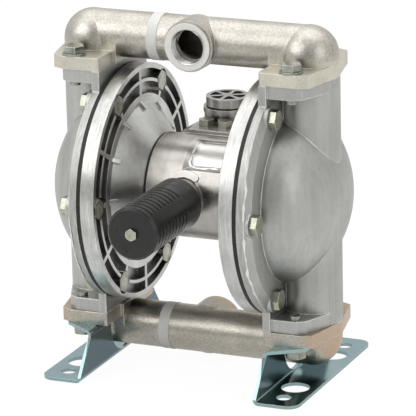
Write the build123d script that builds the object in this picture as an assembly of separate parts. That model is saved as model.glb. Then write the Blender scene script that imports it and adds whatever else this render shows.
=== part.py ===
from build123d import *
import math
import os

# An air operated double diaphragm pump for 1 inch pipe.
# X runs along the diaphragm shaft, +X is the right chamber, -Y is the front with the outlet
# and the muffler, and +Z is up from the ground under the feet. All sizes are millimetres.

# Overall layout
column_spacing = 210.0       # between the axes of the two valve columns
rim_room = 5.5               # from the round flanges to the faces that carry the manifolds
foot_height = 42.0           # from the ground to the underside of the suction manifold
manifold_flange = 12.0       # thickness of the manifolds' flanges

# Stack along the shaft, outwards from the middle of the pump
body_length = 73.0
gasket_thickness = 2.5
gasket_setback = 0.5         # inside the neck's edge
gasket_gap = 1.0             # round the shaft and the pilot rod
air_chamber_depth = 34.0     # from the body gasket to the diaphragm
diaphragm_thickness = 4.0
fluid_flange = 11.0          # thickness of the out chamber's round flange

# Round flanges that clamp the diaphragms
rim_radius = 108.5
rim_width = 13.0             # of the air chamber's outer ring, along the shaft
rim_wall = 5.0               # plate between the ribs and the diaphragm
rim_margin = 12.5            # from the edge of the rim in to the bolt circle
clamp_margin = 14.0          # from the bolt circle in to the free part of the diaphragm
chamber_bolt_count = 6

# Out chamber: dome and valve column
dome_reach = 54.0            # along the shaft
dome_margin = 3.5            # the dome's widest place, inside the clamped edge
dome_knuckle = 40.0          # radius of the dome's shoulder
dome_wall = 5.0
dome_centre = 8.0            # outwards from the diaphragm's outer face
column_radius = 27.5
chamber_end_flange = 12.0
flange_half_width = 52.0     # front to back, half
flange_shoulder = 8.0        # the flat front face runs this far past the column's axis
flange_corner = 10.5         # the cut corner beyond that, along X
flange_corner_drop = 5.0     # and along Y
flange_round = 2.5
ear_thickness = 7.5          # square plate that joins the round flange to the end flanges
rim_edge = 7.0               # thickness of the round flange at its very edge
rim_slope = 9.0              # width of the slope from there to the full thickness
end_flange_half_width = 50.0 # the end flanges are smaller than the manifolds' flanges
end_flange_shoulder = 3.0
end_flange_corner = 8.0

# Air chamber: cone and ribs
neck_step = 0.7              # the neck, smaller than the centre body
cone_margin = 7.0            # flat face between the cone and the middle of the first round rib
cone_wall = 4.2
hub_wall = 6.0
rib_thickness = 4.0
rib_count = 12
ring_margins = (17.0, 3.0)   # middle of the two round ribs, inside the bolt circle
ring_thickness = 3.0
outer_ring = 5.0
stub_margin = 3.5            # the ribs' tails end this far down the cone
stub_height = 3.0

# Manifold pipes, seen from the faces that they are bolted to
pipe_radius = 21.3
pipe_bore = 16.0
discharge_rise = 23.5        # pipe axis above its face
suction_drop = 22.7          # pipe axis below its face
elbow_radius = 27.0
discharge_elbow = 18.0       # elbow's centre above its face
suction_elbow = 16.0         # elbow's centre below its face
elbow_wall = 5.5
passage_gain = 2.0           # passages above and below a seat, wider than its bore
inlet_gain = 3.0             # and the suction side's passage, wider again
root_length = 3.0            # the square root of the pipe, inwards from the flange
port_radius = 23.5
port_reach = 30.0            # from the pipe's axis to the port's face
port_thread = 16.4
port_depth = 14.0
port_lip = 3.0               # the narrower end of the port's boss
port_step = 1.6
band_thickness = 0.3
band_gap = 0.1
band_width = 10.0
upper_band_place = 39.0      # middle of the bands, left of the ports
lower_band_place = 34.8

# Ball valves
ball_radius = 15.0
ball_lift = 8.0
seat_bore = 12.0
seat_radius = 21.0
seat_height = 8.0
seat_chamfer = 2.0
ring_inner = 23.5            # square ring that seals each seat
ring_width = 2.5
ring_height = 2.0
guide_thickness = 4.0
guide_count = 4
guide_gap = 0.6              # between the guides and the ball
guide_root = 2.0             # how far the guides reach into the wall
guide_foot = 2.0             # from the joint face to the guides' lower ends
stop_gap = 0.5
stop_radius = 7.0            # the guides' tops reach in to this radius over the ball
stop_height = 6.0

# Fasteners
bolt_radius = 5.0
bolt_flats = 17.0
bolt_head = 6.4
bolt_end = 4.0               # the manifold bolts stand out of their tapped flanges
nut_height = 8.0
washer_radius = 10.5
washer_thickness = 2.0
hole_gain = 0.25             # bolt holes, on the radius
thread_gain = 0.05           # nuts, on the radius
head_chamfer = 1.2
manifold_bolt_place = 43.0   # front and back of the column's axis
pocket_radius = 10.6         # round the nuts of the chamber bolts
boss_radius = 12.0           # round the heads of the chamber bolts

# Foot brackets of bent sheet
sheet = 3.0
bracket_inner = 84.5         # inner face of the upright web
bracket_outer = 125.5
bend_radius = 2.0            # inside each bend
bracket_half_length = 96.0
bracket_corner = 12.0
web_top_half = 72.0
top_flange_half = 50.0       # at the outer edge of the bolting flange
top_flange_outer = 118.0
web_opening = 27.0
foot_hole_radius = 7.0
foot_hole_y = 75.0
light_hole_radius = 13.0
light_hole_y = 47.0
bracket_gap = 2.0            # round the elbow, in the bolting flange
foot_hole_spacing = 212.0

# Centre body and valve housing
body_radius = 47.2
housing_place = 60.0         # behind the shaft's axis
housing_radius = 22.5
housing_top = 61.5           # above the shaft's axis
housing_bottom = 46.0        # below the shaft's axis
housing_band = 5.0
housing_waist = 0.8
web_rise = 8.0               # underside of the web to the housing, above the body's lowest line
cap_radius = 20.0
cap_height = 8.5
cap_recess_radius = 16.5
cap_recess = 3.0
cap_hub_radius = 4.5
cap_rib = 3.0
cap_rib_count = 6
cap_plug_length = 7.0
cap_seal = 1.0
seal_setback = 1.0           # inside the cap's edge
saddle_step = 2.3            # top of the saddle above the barrel
saddle_half_top = 19.0
saddle_half_foot = 37.0
saddle_drop = 10.3           # height of its slanted shoulders
saddle_front = 12.0
plug_spacing = 18.0
plug_place = 31.0
plug_flats = 13.0
plug_head = 5.5
plug_radius = 4.0
plug_depth = 9.0
panel_depth = 3.0            # sunk panel on the front of the barrel
panel_left = -4.0            # where its slanted left wall starts
panel_right = 33.0
panel_slope = 9.0            # width of the left wall
panel_low_angle = 35.0       # where its slanted lower wall starts, up from the front
panel_low_slope = 7.0        # and that wall's width, in degrees
panel_high_angle = 82.0
pad_inner = 19.8             # curved pad on the barrel, over the muffler
pad_outer = 25.6
pad_half_angle = 29.0
pad_height = 1.2
air_port_radius = 14.0
air_port_reach = 88.0        # behind the shaft's axis
air_port_thread = 7.6
air_port_depth = 14.0
air_port_step = 2.0          # narrower behind the thread

# Spool valve in the housing
sleeve_radius = 13.5
sleeve_wall = 5.4
sleeve_length = 90.0
sleeve_groove = 1.6
sleeve_groove_width = 8.0
spool_length = 74.0
spool_land = 12.0
spool_waist = 5.0
running_gap = 0.05
fit_gap = 0.05

# Shaft, diaphragm discs and pilot rod
shaft_radius = 9.0
stud_radius = 6.0
bush_length = 16.0
bush_wall = 4.0
bush_setback = 8.0           # room for the shaft seal outside the bush
seal_width = 4.0
inner_disc_radius = 46.0
inner_disc_edge = 6.0
inner_disc_hub = 4.0
hub_radius = 20.0
outer_disc_radius = 49.0
outer_disc_edge = 6.0
outer_disc_hub = 5.0
disc_nut_flats = 24.0
disc_nut_height = 9.0
convolution_inner = 52.0
convolution_gap = 2.0        # from the chambers' mouths
convolution_depth = 7.0
pilot_radius = 4.0
pilot_offset = 25.0
pilot_length = 118.0
pilot_sleeve_wall = 3.0
pilot_sleeve_length = 20.0
body_screw_margin = 10.5     # the screws' circle, inside the neck
body_screw_count = 6
body_screw_start = 30.0      # degrees, so that the screws miss the pilot rod
body_screw_radius = 4.0
body_screw_head_radius = 6.5
body_screw_head = 7.0
body_screw_length = 18.0
tap_room = 3.0               # tapped holes, deeper than their screws

# Muffler
muffler_radius = 24.0
muffler_start = 58.0         # in front of the shaft's axis
muffler_length = 96.0
muffler_wall = 3.0
muffler_taper = 3.0          # at the end by the body
muffler_base = 32.0          # smooth end before the first slot
muffler_pocket = 6.0         # the inside reaches this far into the smooth end
muffler_rise = 1.0           # muffler axis above the shaft's axis
muffler_spigot_radius = 12.0
muffler_spigot_bore = 8.5
muffler_spigot = 14.0
muffler_collar_radius = 19.0
muffler_collar_gap = 2.0
exhaust_depth = 20.0
slot_width = 2.0
slot_pitch = 7.2
slot_count = 9
slot_first = 2.0             # from the open end to the first slot
strip_angle = 30.0           # smooth strips between the slots, each this wide
strip_middle = 30.0          # degrees from +X to the first strip
strip_count = 3
end_cap_thickness = 4.0
end_cap_round = 2.0
end_cap_lip = 4.0
mark_radius = 5.0            # round mark, and three dots on the same circle
mark_depth = 0.6
mark_place = 13.0
mark_angle = -101.0
dot_radius = 1.3
muffler_bolt_radius = 3.0
muffler_bolt_flats = 10.0
muffler_bolt_head = 3.0
muffler_bolt_length = 24.0
element_wall = 7.0
element_gap = 0.3

# Places that follow from the sizes above
chamber_height = 2 * (rim_radius + rim_room)
chamber_bolt_circle = rim_radius - rim_margin
clamp_radius = chamber_bolt_circle - clamp_margin
dome_radius = clamp_radius - dome_margin
ring_radii = [chamber_bolt_circle - margin for margin in ring_margins]
cone_radius = ring_radii[0] - cone_margin
stub_radius = cone_radius - stub_margin
neck_radius = body_radius - neck_step
body_screw_circle = neck_radius - body_screw_margin
saddle_rise = body_radius + saddle_step
valve_shift = (housing_top - housing_bottom) / 2
column_x = column_spacing / 2
suction_face = foot_height + manifold_flange
discharge_face = suction_face + chamber_height
shaft_height = (suction_face + discharge_face) / 2
body_end = body_length / 2
hub_face = body_end + gasket_thickness
air_face = hub_face + air_chamber_depth
fluid_face = air_face + diaphragm_thickness
flange_face = fluid_face + fluid_flange
ring_face = air_face - rim_width
plate_face = air_face - rim_wall
dome_x = fluid_face + dome_centre
discharge_pipe_z = discharge_face + discharge_rise
suction_pipe_z = suction_face - suction_drop
ball_seat_height = math.sqrt(ball_radius**2 - seat_bore**2) - seat_chamfer
cage_radius = elbow_radius - elbow_wall
muffler_z = shaft_height + muffler_rise
valve_z = shaft_height + valve_shift


def rod_x(radius, start, end, y=0.0, z=0.0):
    """A cylinder along X."""
    return Pos((start + end) / 2, y, z) * Rot(0, 90, 0) * Cylinder(radius, abs(end - start))


def rod_y(radius, start, end, x=0.0, z=0.0):
    """A cylinder along Y."""
    return Pos(x, (start + end) / 2, z) * Rot(90, 0, 0) * Cylinder(radius, abs(end - start))


def rod_z(radius, start, end, x=0.0, y=0.0):
    """A cylinder along Z."""
    return Pos(x, y, (start + end) / 2) * Cylinder(radius, abs(end - start))


def block(x0, x1, y0, y1, z0, z1):
    """A box between two corners."""
    middle = Pos((x0 + x1) / 2, (y0 + y1) / 2, (z0 + z1) / 2)
    return middle * Box(abs(x1 - x0), abs(y1 - y0), abs(z1 - z0))


def turned_x(face):
    """Turns a face, drawn with X along the shaft and Y as radius, round the shaft's axis."""
    return Pos(0, 0, shaft_height) * revolve(face, Axis.X)


def outline(*points):
    """A face inside straight lines."""
    return Polygon(*points, align=None)


def hexagon_z(flats, start, end, x=0.0, y=0.0):
    """A hexagonal prism along Z."""
    face = RegularPolygon(flats / 2, 6, major_radius=False)
    return Pos(x, y, min(start, end)) * extrude(face, abs(end - start))


def hex_head(flats, height):
    """A bolt's head, standing on Z = 0 with the corners of its top cut off."""
    corner = flats / math.sqrt(3)
    cutter = Cone(corner + height - head_chamfer / 2, corner - head_chamfer / 2, height)
    return hexagon_z(flats, 0, height) & (Pos(0, 0, height / 2) * cutter)


def hex_bolt(radius, flats, head, length):
    """A bolt whose head stands on Z = 0 and whose shank goes down."""
    return hex_head(flats, head) + rod_z(radius, -length, 0)


def nut(radius, flats, height):
    """A nut standing on Z = 0."""
    return hex_head(flats, height) - rod_z(radius + thread_gain, -1, height + 1)


def washer():
    """A washer standing on Z = 0."""
    return rod_z(washer_radius, 0, washer_thickness) - rod_z(
        bolt_radius + hole_gain, -1, washer_thickness + 1
    )


def ring_z(inner, outer, start, end, x=0.0, y=0.0):
    """A plain ring with its axis along Z."""
    return rod_z(outer, start, end, x, y) - rod_z(inner, start - 1, end + 1, x, y)


def left_of(part):
    """The left-hand twin of a right-hand piece."""
    return mirror(part, about=Plane.YZ)


def both_sides(part):
    """A right-hand piece and its left-hand twin as a list."""
    return [part, left_of(part)]


def round_shaft(part, count, start=0.0):
    """Copies of a piece, evenly spaced round the shaft's axis."""
    to_axis = Pos(0, 0, shaft_height)
    from_axis = Pos(0, 0, -shaft_height)
    return [to_axis * Rot(start + i * 360 / count, 0, 0) * from_axis * part for i in range(count)]


# Hole and fastener places
chamber_bolt_y = -chamber_bolt_circle
manifold_bolt_places = [
    (side * column_x, end * manifold_bolt_place) for side in (-1, 1) for end in (-1, 1)
]


# Fluid side castings


def flange_plan(half_width, shoulder_place, corner):
    """Plan of a two-bolt flange on top of a right-hand valve column."""
    shoulder = column_x + shoulder_place
    corner_x = shoulder + corner
    corner_y = half_width - flange_corner_drop
    dx = corner_x - column_x
    reach = math.hypot(dx, corner_y)
    turn = math.atan2(corner_y, dx) - math.acos(column_radius / reach)
    touch_x = column_x + column_radius * math.cos(turn)
    touch_y = column_radius * math.sin(turn)
    front = [
        (fluid_face, -half_width),
        (shoulder, -half_width),
        (corner_x, -corner_y),
        (touch_x, -touch_y),
    ]
    back = [(x, -y) for x, y in reversed(front)]
    return outline(*front, *back) + Pos(column_x, 0) * Circle(column_radius)


def flange_plate(plan, start, thickness):
    """A flange's plan as a plate that stands on Z = start, with rounded corners."""
    plate = extrude(plan, thickness)
    upright = plate.edges().filter_by(Axis.Z)
    return Pos(0, 0, start) * fillet(upright, flange_round)


def manifold_bolt_holes(start, end, gain):
    """Bolt holes through the flanges of one right-hand column."""
    return [
        rod_z(bolt_radius + gain, start, end, column_x, y)
        for y in (-manifold_bolt_place, manifold_bolt_place)
    ]


def seat_recess(face):
    """Room for a seat and its square ring below a joint face of the right-hand column."""
    recess = rod_z(seat_radius + fit_gap, face - seat_height, face + 1, column_x)
    groove = ring_z(
        ring_inner - fit_gap, ring_inner + ring_width + fit_gap, face - ring_height, face + 1, column_x
    )
    return [recess, groove]


def ball_centre(face):
    """Height of a ball's centre when it rests on the seat below a joint face."""
    return face + ball_seat_height + fit_gap


def cage_envelope(face, roof_z, gain):
    """Space round a ball: upright, and round on top where it fills an elbow."""
    radius = cage_radius + gain
    return rod_z(radius, face, roof_z, column_x) + Pos(column_x, 0, roof_z) * Sphere(radius)


def ball_guides(face, roof_z):
    """Upright guides round a ball, whose tops reach over it and stop its lift."""
    stop_z = (
        ball_centre(face) + ball_lift + math.sqrt(ball_radius**2 - stop_radius**2) + stop_gap
    )
    start_radius = ball_radius + guide_gap
    outside = cage_radius + guide_root
    guides = []
    for i in range(guide_count):
        wall = block(
            start_radius, outside, -guide_thickness / 2, guide_thickness / 2, face + guide_foot, stop_z
        )
        hook = block(
            stop_radius, outside, -guide_thickness / 2, guide_thickness / 2, stop_z, stop_z + stop_height
        )
        turn = Pos(column_x, 0, 0) * Rot(0, 0, 45 + i * 360 / guide_count)
        guides.append(turn * (wall + hook) & cage_envelope(face, roof_z, guide_root))
    return guides


def dome_curve(gain):
    """The dome's outline from its widest place to its tip, grown by gain: a shoulder and a crown."""
    ring = dome_radius - dome_knuckle
    crown = (dome_reach**2 + ring**2 - dome_knuckle**2) / (2 * (dome_reach - dome_knuckle))
    crown_x = dome_x + dome_reach - crown
    join = math.atan2(ring, crown - dome_reach)
    shoulder = [
        (
            dome_x + (dome_knuckle + gain) * math.cos(angle),
            ring + (dome_knuckle + gain) * math.sin(angle),
        )
        for angle in (math.pi / 2, (math.pi / 2 + join) / 2, join)
    ]
    top = [
        (crown_x + (crown + gain) * math.cos(angle), (crown + gain) * math.sin(angle))
        for angle in (join, join / 2)
    ]
    tip = (crown_x + crown + gain, 0)
    return [ThreePointArc(*shoulder), ThreePointArc(*top, tip)], shoulder[0], tip


def bounded(corners, gain):
    """A face from corners on the diaphragm's side to the dome's outline."""
    curve, widest, tip = dome_curve(gain)
    return make_face(Curve() + [Polyline(tip, *corners, widest), *curve])


def out_chamber():
    """Right-hand fluid chamber: round flange, dome, valve column and two end flanges."""
    low, high = suction_face, discharge_face
    casting = turned_x(
        outline(
            (fluid_face, 0),
            (fluid_face, rim_radius),
            (fluid_face + rim_edge, rim_radius),
            (flange_face, rim_radius - rim_slope),
            (flange_face, 0),
        )
    )
    casting += turned_x(bounded([(dome_x, 0)], 0))
    casting += rod_z(column_radius, low, high, column_x)
    casting += block(
        fluid_face, fluid_face + ear_thickness, -flange_half_width, flange_half_width, low, high
    )
    casting += round_shaft(
        rod_x(boss_radius, fluid_face, flange_face, chamber_bolt_y, shaft_height), chamber_bolt_count
    )
    plan = flange_plan(end_flange_half_width, end_flange_shoulder, end_flange_corner)
    for start in (low, high - chamber_end_flange):
        casting += flange_plate(plan, start, chamber_end_flange)
    mouth = [
        (fluid_face - 1, 0),
        (fluid_face - 1, clamp_radius),
        (fluid_face + 3.0, clamp_radius - 2.0),
    ]
    casting -= turned_x(bounded(mouth, -dome_wall))
    passage = seat_bore + passage_gain
    casting -= rod_z(passage, shaft_height, high + 1, column_x)
    casting -= seat_recess(high)
    cage_top = ball_centre(low) + ball_lift + ball_radius + stop_height
    casting -= rod_z(cage_radius, low - 1, cage_top, column_x)
    casting -= rod_z(passage + inlet_gain, low, shaft_height, column_x)
    for guide in ball_guides(low, cage_top):
        casting += guide
    casting -= manifold_bolt_holes(low - 1, low + chamber_end_flange + 1, thread_gain)
    casting -= manifold_bolt_holes(high - chamber_end_flange - 1, high + 1, thread_gain)
    hole = rod_x(bolt_radius + hole_gain, fluid_face - 1, flange_face + 1, chamber_bolt_y, shaft_height)
    return casting - round_shaft(hole, chamber_bolt_count)


def manifold(face, up, pipe_z, elbow_offset, port_side):
    """A whole manifold. It stands on (up = 1) or hangs from (up = -1) its joint face."""
    far = face + up * manifold_flange
    elbow_z = face + up * elbow_offset
    low, high = min(face, far), max(face, far)
    beyond = face + up * (elbow_offset + 2 * elbow_radius)
    this_side = block(
        -2 * column_x, 2 * column_x, -flange_half_width, flange_half_width, face, beyond
    )
    half = rod_z(elbow_radius, face, elbow_z, column_x)
    half += Pos(column_x, 0, elbow_z) * Sphere(elbow_radius) & this_side
    half += Pos(column_x, 0, pipe_z) * Sphere(pipe_radius)
    plan = flange_plan(flange_half_width, flange_shoulder, flange_corner)
    half += flange_plate(plan, low, manifold_flange)
    half += block(fluid_face - root_length, column_x, -pipe_radius, pipe_radius, face, pipe_z)
    half += rod_x(pipe_radius, 0, column_x, 0, pipe_z)
    casting = half + left_of(half)
    casting += rod_y(port_radius, 0, port_side * (port_reach - port_lip), 0, pipe_z)
    casting += rod_y(port_radius - port_step, 0, port_side * port_reach, 0, pipe_z)
    if up > 0:
        inside = cage_envelope(face - 1, elbow_z, 0)
    else:
        inside = rod_z(seat_bore + passage_gain, face - seat_height, pipe_z, column_x)
        inside += Pos(column_x, 0, pipe_z) * Sphere(pipe_bore)
    casting -= both_sides(inside)
    casting -= rod_x(pipe_bore, -column_x, column_x, 0, pipe_z)
    casting -= rod_y(pipe_bore - port_step, 0, port_side * port_reach, 0, pipe_z)
    mouth = port_side * (port_reach - port_depth)
    casting -= rod_y(port_thread, mouth, port_side * (port_reach + 1), 0, pipe_z)
    if up > 0:
        for guide in ball_guides(face, elbow_z):
            casting += both_sides(guide)
    else:
        for cut in seat_recess(face):
            casting -= both_sides(cut)
    for hole in manifold_bolt_holes(low - 1, high + 1, hole_gain):
        casting -= both_sides(hole)
    return casting


# Air side castings


def air_chamber():
    """Right-hand air chamber: ribbed rim, cone and hub."""
    shell = turned_x(
        outline(
            (hub_face, 0),
            (hub_face, neck_radius),
            (ring_face, cone_radius),
            (ring_face, ring_radii[0]),
            (plate_face, ring_radii[0]),
            (plate_face, rim_radius),
            (air_face, rim_radius),
            (air_face, 0),
        )
    )
    ribs = []
    for middle in ring_radii:
        ribs.append((middle - ring_thickness / 2, middle + ring_thickness / 2))
    ribs.append((rim_radius - outer_ring, rim_radius))
    for inner, outer in ribs:
        ring = outline(
            (ring_face, inner), (ring_face, outer), (plate_face + 1, outer), (plate_face + 1, inner)
        )
        shell += turned_x(ring)
    tail_x = hub_face + (stub_radius - neck_radius) / (cone_radius - neck_radius) * (
        ring_face - hub_face
    )
    rib_face = outline(
        (tail_x - stub_height, stub_radius),
        (ring_face, cone_radius + stub_height),
        (ring_face, rim_radius - 1.0),
        (plate_face + 1, rim_radius - 1.0),
        (plate_face + 1, cone_radius),
        (tail_x + stub_height, stub_radius),
    )
    rib = Pos(0, 0, shaft_height) * extrude(rib_face, rib_thickness / 2, both=True)
    shell += round_shaft(rib, rib_count)
    start_x = hub_face + hub_wall
    slope = (ring_face - hub_face) / (cone_radius - neck_radius)
    setback = cone_wall * math.hypot(1, slope)
    start_radius = neck_radius + (hub_wall - setback) / slope
    bend_radius = ring_radii[0] - cone_wall - 2.0
    bend_x = start_x + (bend_radius - start_radius) * slope
    cavity = outline(
        (start_x, 0),
        (start_x, start_radius),
        (bend_x, bend_radius),
        (plate_face + 2.0, ring_radii[0]),
        (air_face, clamp_radius),
        (air_face + 1, clamp_radius),
        (air_face + 1, 0),
    )
    shell -= turned_x(cavity)
    pocket = rod_x(pocket_radius, ring_face - 1, plate_face, chamber_bolt_y, shaft_height)
    shell -= round_shaft(pocket, chamber_bolt_count)
    hole = rod_x(bolt_radius + hole_gain, plate_face - 1, air_face + 1, chamber_bolt_y, shaft_height)
    shell -= round_shaft(hole, chamber_bolt_count)
    shell -= rod_x(shaft_radius + hole_gain, hub_face - 1, start_x + 1, 0, shaft_height)
    shell -= rod_x(pilot_radius + hole_gain, hub_face - 1, start_x + 1, pilot_offset, shaft_height)
    screw_hole = rod_x(
        body_screw_radius + hole_gain, hub_face - 1, start_x + 1, 0, shaft_height + body_screw_circle
    )
    return shell - round_shaft(screw_hole, body_screw_count, body_screw_start)


def body_gasket():
    """Right-hand gasket between the air chamber and the centre body."""
    z = shaft_height
    low, high = body_end - 1, hub_face + 1
    ring = rod_x(neck_radius - gasket_setback, body_end, hub_face, 0, z)
    ring -= rod_x(shaft_radius + gasket_gap, low, high, 0, z)
    ring -= rod_x(pilot_radius + gasket_gap, low, high, pilot_offset, z)
    screw_hole = rod_x(body_screw_radius + hole_gain, low, high, 0, z + body_screw_circle)
    return ring - round_shaft(screw_hole, body_screw_count, body_screw_start)


def body_screws():
    """Cap screws that hold the right-hand air chamber to the centre body, from inside it."""
    seat = hub_face + hub_wall
    z = shaft_height + body_screw_circle
    screw = rod_x(body_screw_head_radius, seat, seat + body_screw_head, 0, z)
    screw += rod_x(body_screw_radius, seat - body_screw_length, seat, 0, z)
    return round_shaft(screw, body_screw_count, body_screw_start)


def plug_places():
    """Where the two hexagonal plugs stand on the saddle."""
    return [(-plug_spacing / 2, plug_place), (plug_spacing / 2, plug_place)]


def on_barrel(radius, angle):
    """A point of the YZ plane, by its distance from the shaft and its angle up from the front."""
    return (-radius * math.cos(math.radians(angle)), radius * math.sin(math.radians(angle)))


def sunk_panel():
    """What the panel on the front of the barrel takes away: slanted walls on the left and below."""
    floor = body_radius - panel_depth
    depths = turned_x(
        outline(
            (panel_left - panel_slope, body_radius + panel_depth),
            (panel_left + panel_slope, floor),
            (panel_right, floor),
            (panel_right, body_radius + panel_depth),
        )
    )
    sector = outline(
        on_barrel(body_radius + panel_depth, panel_low_angle - panel_low_slope),
        on_barrel(floor, panel_low_angle + panel_low_slope),
        (0, 0),
        on_barrel(2 * body_radius, panel_high_angle),
        on_barrel(2 * body_radius, panel_low_angle - panel_low_slope),
    )
    start = panel_left - panel_slope
    return depths & Pos(start, 0, shaft_height) * extrude(Plane.YZ * sector, panel_right - start)


def curved_pad():
    """The curved pad over the muffler."""
    middle = (pad_inner + pad_outer) / 2
    path = CenterArc((0, 0), middle, 90 - pad_half_angle, 2 * pad_half_angle)
    face = SlotArc(path, pad_outer - pad_inner)
    pad = Pos(0, 0, muffler_z) * Rot(90, 0, 0) * extrude(face, 2 * body_radius, dir=(0, 0, 1))
    return pad & rod_x(body_radius + pad_height, -body_end, body_end, 0, shaft_height)


def centre_body():
    """The air motor's body with the upright housing of its spool valve behind it."""
    z = shaft_height
    top = z + housing_top
    bottom = z - housing_bottom
    body = rod_x(body_radius, -body_end, body_end, 0, z)
    saddle = outline(
        (-saddle_half_foot, 0),
        (-saddle_half_foot, saddle_rise - saddle_drop),
        (-saddle_half_top, saddle_rise),
        (saddle_half_top, saddle_rise),
        (saddle_half_foot, saddle_rise - saddle_drop),
        (saddle_half_foot, 0),
    )
    length = housing_place - saddle_front
    upright = Pos(0, housing_place, z) * Rot(90, 0, 0) * extrude(saddle, length, dir=(0, 0, 1))
    body += upright & block(-body_end, body_end, 0, housing_place, z, z + 2 * body_radius)
    body += block(-housing_radius, housing_radius, 0, housing_place, z - body_radius + web_rise, z)
    body += rod_z(housing_radius - housing_waist, bottom, top, 0, housing_place)
    body += rod_z(housing_radius, top - housing_band, top, 0, housing_place)
    body += rod_z(housing_radius, bottom, bottom + housing_band, 0, housing_place)
    body -= sunk_panel()
    body += curved_pad()
    body += rod_y(muffler_collar_radius, -muffler_start + muffler_collar_gap, 0, 0, muffler_z)
    body += rod_y(air_port_radius, housing_place, air_port_reach, 0, z)
    body -= rod_y(air_port_thread, air_port_reach - air_port_depth, air_port_reach + 1, 0, z)
    body -= rod_y(air_port_thread - air_port_step, housing_place, air_port_reach, 0, z)
    body -= rod_z(sleeve_radius + fit_gap, bottom - 1, top + 1, 0, housing_place)
    for x, y in plug_places():
        body -= rod_z(plug_radius + fit_gap, z + saddle_rise - plug_depth, z + saddle_rise + 1, x, y)
    body -= rod_y(
        muffler_spigot_radius + fit_gap,
        -muffler_start - 1,
        -muffler_start + muffler_collar_gap + exhaust_depth,
        0,
        muffler_z,
    )
    body -= rod_x(shaft_radius + hole_gain, -body_end - 1, body_end + 1, 0, z)
    body -= rod_x(pilot_radius + hole_gain, -body_end - 1, body_end + 1, pilot_offset, z)
    pilot_half = pilot_sleeve_length / 2
    for side in (-1, 1):
        start = side * body_end
        bush_end = start - side * (bush_setback + bush_length)
        body -= rod_x(shaft_radius + bush_wall + fit_gap, start, bush_end, 0, z)
        sleeve_end = start - side * pilot_sleeve_length
        body -= rod_x(pilot_radius + pilot_sleeve_wall + fit_gap, start, sleeve_end, pilot_offset, z)
        screw_end = start - side * (body_screw_length - hub_wall - gasket_thickness + tap_room)
        hole = rod_x(body_screw_radius + thread_gain, start, screw_end, 0, z + body_screw_circle)
        body -= round_shaft(hole, body_screw_count, body_screw_start)
    return body


def valve_cap(start, up):
    """A cap on one end of the valve housing, with a starred recess in its face."""
    end = start + up * cap_height
    cap = rod_z(cap_radius, start, end, 0, housing_place)
    cap += rod_z(sleeve_radius - fit_gap, start - up * cap_plug_length, start, 0, housing_place)
    floor = end - up * cap_recess
    recess = rod_z(cap_recess_radius, floor, end + up, 0, housing_place)
    recess -= rod_z(cap_hub_radius, floor, end + up, 0, housing_place)
    half = cap_rib / 2
    for i in range(cap_rib_count):
        spoke = block(0, cap_recess_radius + 1, -half, half, min(floor, end), max(floor, end) + 1)
        recess -= Pos(0, housing_place, 0) * Rot(0, 0, (i + 0.5) * 360 / cap_rib_count) * spoke
    return cap - recess


def cap_seal_ring(start):
    """Flat seal under a cap."""
    outer = cap_radius - seal_setback
    return ring_z(sleeve_radius, outer, start, start + cap_seal, 0, housing_place)


def valve_sleeve():
    """Ported sleeve of the spool valve."""
    z = valve_z
    half = sleeve_length / 2
    outer = sleeve_radius - fit_gap
    sleeve = rod_z(outer, z - half, z + half, 0, housing_place)
    for i in (-2, -1, 0, 1, 2):
        middle = z + i * sleeve_length / 6
        sleeve -= ring_z(
            outer - sleeve_groove,
            outer + 1,
            middle - sleeve_groove_width / 2,
            middle + sleeve_groove_width / 2,
            0,
            housing_place,
        )
        port = rod_x(sleeve_groove_width / 3, -sleeve_radius, sleeve_radius, housing_place, middle)
        sleeve -= port
    return sleeve - rod_z(sleeve_radius - sleeve_wall, z - half - 1, z + half + 1, 0, housing_place)


def valve_spool():
    """Spool with three lands."""
    z = valve_z
    half = spool_length / 2
    land_radius = sleeve_radius - sleeve_wall - running_gap
    spool = rod_z(spool_waist, z - half, z + half, 0, housing_place)
    for middle in (z - half + spool_land / 2, z, z + half - spool_land / 2):
        spool += rod_z(land_radius, middle - spool_land / 2, middle + spool_land / 2, 0, housing_place)
    return spool


# Shaft group


def shaft():
    """Centre rod with a stud on each end."""
    shoulder = air_face - inner_disc_edge - inner_disc_hub
    end = fluid_face + outer_disc_edge + outer_disc_hub + disc_nut_height
    rod = rod_x(shaft_radius, -shoulder, shoulder, 0, shaft_height)
    return rod + rod_x(stud_radius, -end, end, 0, shaft_height)


def inner_disc():
    """Right-hand disc on the air side of the diaphragm."""
    back = air_face - inner_disc_edge - inner_disc_hub
    disc = turned_x(
        outline(
            (back, stud_radius + fit_gap),
            (back, hub_radius - 2.0),
            (back + inner_disc_hub, hub_radius + 2.0),
            (air_face - inner_disc_edge, inner_disc_radius - 3.0),
            (air_face - inner_disc_edge / 2, inner_disc_radius),
            (air_face, inner_disc_radius),
            (air_face, stud_radius + fit_gap),
        )
    )
    return disc


def outer_disc():
    """Right-hand disc on the fluid side of the diaphragm."""
    front = fluid_face + outer_disc_edge + outer_disc_hub
    disc = turned_x(
        outline(
            (fluid_face, stud_radius + fit_gap),
            (fluid_face, outer_disc_radius),
            (fluid_face + outer_disc_edge / 2, outer_disc_radius),
            (fluid_face + outer_disc_edge, outer_disc_radius - 4.0),
            (front, hub_radius + 2.0),
            (front, stud_radius + fit_gap),
        )
    )
    return disc


def disc_nut():
    """Right-hand nut on the end of the shaft."""
    front = fluid_face + outer_disc_edge + outer_disc_hub
    piece = hexagon_z(disc_nut_flats, 0, disc_nut_height)
    piece -= rod_z(stud_radius + thread_gain, -1, disc_nut_height + 1)
    return Pos(front, 0, shaft_height) * Rot(0, 90, 0) * piece


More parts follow.
